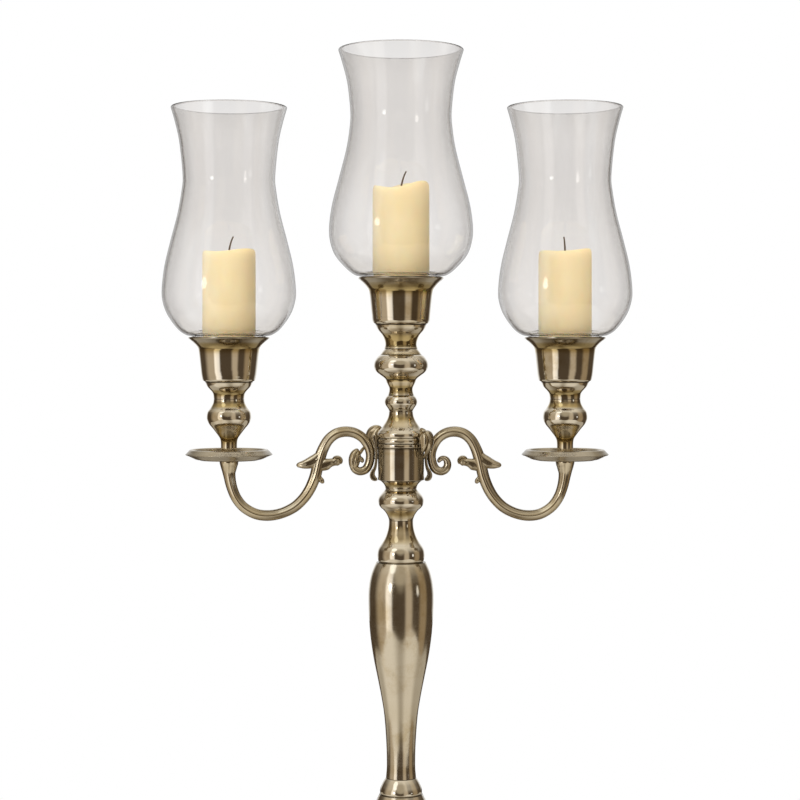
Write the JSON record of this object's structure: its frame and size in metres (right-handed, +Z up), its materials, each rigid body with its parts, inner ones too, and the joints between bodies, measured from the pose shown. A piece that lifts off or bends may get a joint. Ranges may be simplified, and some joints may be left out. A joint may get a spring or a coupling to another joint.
{
  "type": "candelabra",
  "caption": "Tall column candelabra in antiqued nickel, with scrolled side arms, drip pans and pillar candles in clear waisted hurricane shades.",
  "frame": {"origin": "on the column's axis, at the underside of the felt", "axes": "+Z up the column; +X along the right arm; the front, as pictured, faces -Y"},
  "size_m": [0.4197, 0.243, 0.9707],
  "materials": {
    "base_felt": "dark green felt",
    "base_weight": "black, as cast",
    "base_foot": "nickel-plated, polished and lightly antiqued",
    "foot_bead": "nickel-plated, polished and lightly antiqued",
    "lower_baluster": "nickel-plated, polished and lightly antiqued",
    "stem_bead": "nickel-plated, polished and lightly antiqued",
    "main_baluster": "nickel-plated, polished and lightly antiqued",
    "bell_neck": "nickel-plated, polished and lightly antiqued",
    "stem_knop": "nickel-plated, polished and lightly antiqued",
    "hub": "nickel-plated, polished and lightly antiqued",
    "hub_cap": "nickel-plated, polished and lightly antiqued",
    "neck_bead": "nickel-plated, polished and lightly antiqued",
    "cup_knop": "nickel-plated, polished and lightly antiqued",
    "centre_cup": "nickel-plated, polished and lightly antiqued",
    "left_arm": "nickel-plated, polished and lightly antiqued",
    "left_cradle": "nickel-plated, polished and lightly antiqued",
    "left_hub_leaf": "nickel-plated, polished and lightly antiqued",
    "left_drip_pan": "nickel-plated, polished and lightly antiqued",
    "left_cup_stem": "nickel-plated, polished and lightly antiqued",
    "left_cup": "nickel-plated, polished and lightly antiqued",
    "right_arm": "nickel-plated, polished and lightly antiqued",
    "right_cradle": "nickel-plated, polished and lightly antiqued",
    "right_hub_leaf": "nickel-plated, polished and lightly antiqued",
    "right_drip_pan": "nickel-plated, polished and lightly antiqued",
    "right_cup_stem": "nickel-plated, polished and lightly antiqued",
    "right_cup": "nickel-plated, polished and lightly antiqued",
    "base_washer": "plain steel",
    "base_nut": "plain steel",
    "tie_rod": "plain steel",
    "cup_washer": "plain steel",
    "cup_nut": "plain steel",
    "left_arm_screw": "plain steel",
    "left_cup_screw": "plain steel",
    "right_arm_screw": "plain steel",
    "right_cup_screw": "plain steel",
    "centre_shade": "clear blown glass",
    "left_shade": "clear blown glass",
    "right_shade": "clear blown glass",
    "centre_candle": "ivory wax, soft sheen",
    "left_candle": "ivory wax, soft sheen",
    "right_candle": "ivory wax, soft sheen",
    "centre_wick": "charred cotton",
    "left_wick": "charred cotton",
    "right_wick": "charred cotton"
  },
  "bodies": {
    "stand": {"base_felt": "base_felt", "base_weight": "base_weight", "base_foot": "base_foot", "foot_bead": "foot_bead", "lower_baluster": "lower_baluster", "stem_bead": "stem_bead", "main_baluster": "main_baluster", "bell_neck": "bell_neck", "stem_knop": "stem_knop", "hub": "hub", "hub_cap": "hub_cap", "neck_bead": "neck_bead", "cup_knop": "cup_knop", "centre_cup": "centre_cup", "left_arm": "left_arm", "left_cradle": "left_cradle", "left_hub_leaf": "left_hub_leaf", "left_drip_pan": "left_drip_pan", "left_cup_stem": "left_cup_stem", "left_cup": "left_cup", "right_arm": "right_arm", "right_cradle": "right_cradle", "right_hub_leaf": "right_hub_leaf", "right_drip_pan": "right_drip_pan", "right_cup_stem": "right_cup_stem", "right_cup": "right_cup", "base_washer": "base_washer", "base_nut": "base_nut", "tie_rod": "tie_rod", "cup_washer": "cup_washer", "cup_nut": "cup_nut", "left_arm_screw": "left_arm_screw", "left_cup_screw": "left_cup_screw", "right_arm_screw": "right_arm_screw", "right_cup_screw": "right_cup_screw"},
    "centre_shade": {"centre_shade": "centre_shade"},
    "centre_candle": {"centre_candle": "centre_candle", "centre_wick": "centre_wick"},
    "left_shade": {"left_shade": "left_shade"},
    "left_candle": {"left_candle": "left_candle", "left_wick": "left_wick"},
    "right_shade": {"right_shade": "right_shade"},
    "right_candle": {"right_candle": "right_candle", "right_wick": "right_wick"}
  },
  "joints": [
    {"name": "centre_shade_lift", "type": "slide", "parent": "stand", "child": "centre_shade", "axis": [0, 0, 1], "range_m": [0, 0.12]},
    {"name": "centre_candle_lift", "type": "slide", "parent": "stand", "child": "centre_candle", "axis": [0, 0, 1], "range_m": [0, 0.24]},
    {"name": "left_shade_lift", "type": "slide", "parent": "stand", "child": "left_shade", "axis": [0, 0, 1], "range_m": [0, 0.12]},
    {"name": "left_candle_lift", "type": "slide", "parent": "stand", "child": "left_candle", "axis": [0, 0, 1], "range_m": [0, 0.24]},
    {"name": "right_shade_lift", "type": "slide", "parent": "stand", "child": "right_shade", "axis": [0, 0, 1], "range_m": [0, 0.12]},
    {"name": "right_candle_lift", "type": "slide", "parent": "stand", "child": "right_candle", "axis": [0, 0, 1], "range_m": [0, 0.24]}
  ]
}
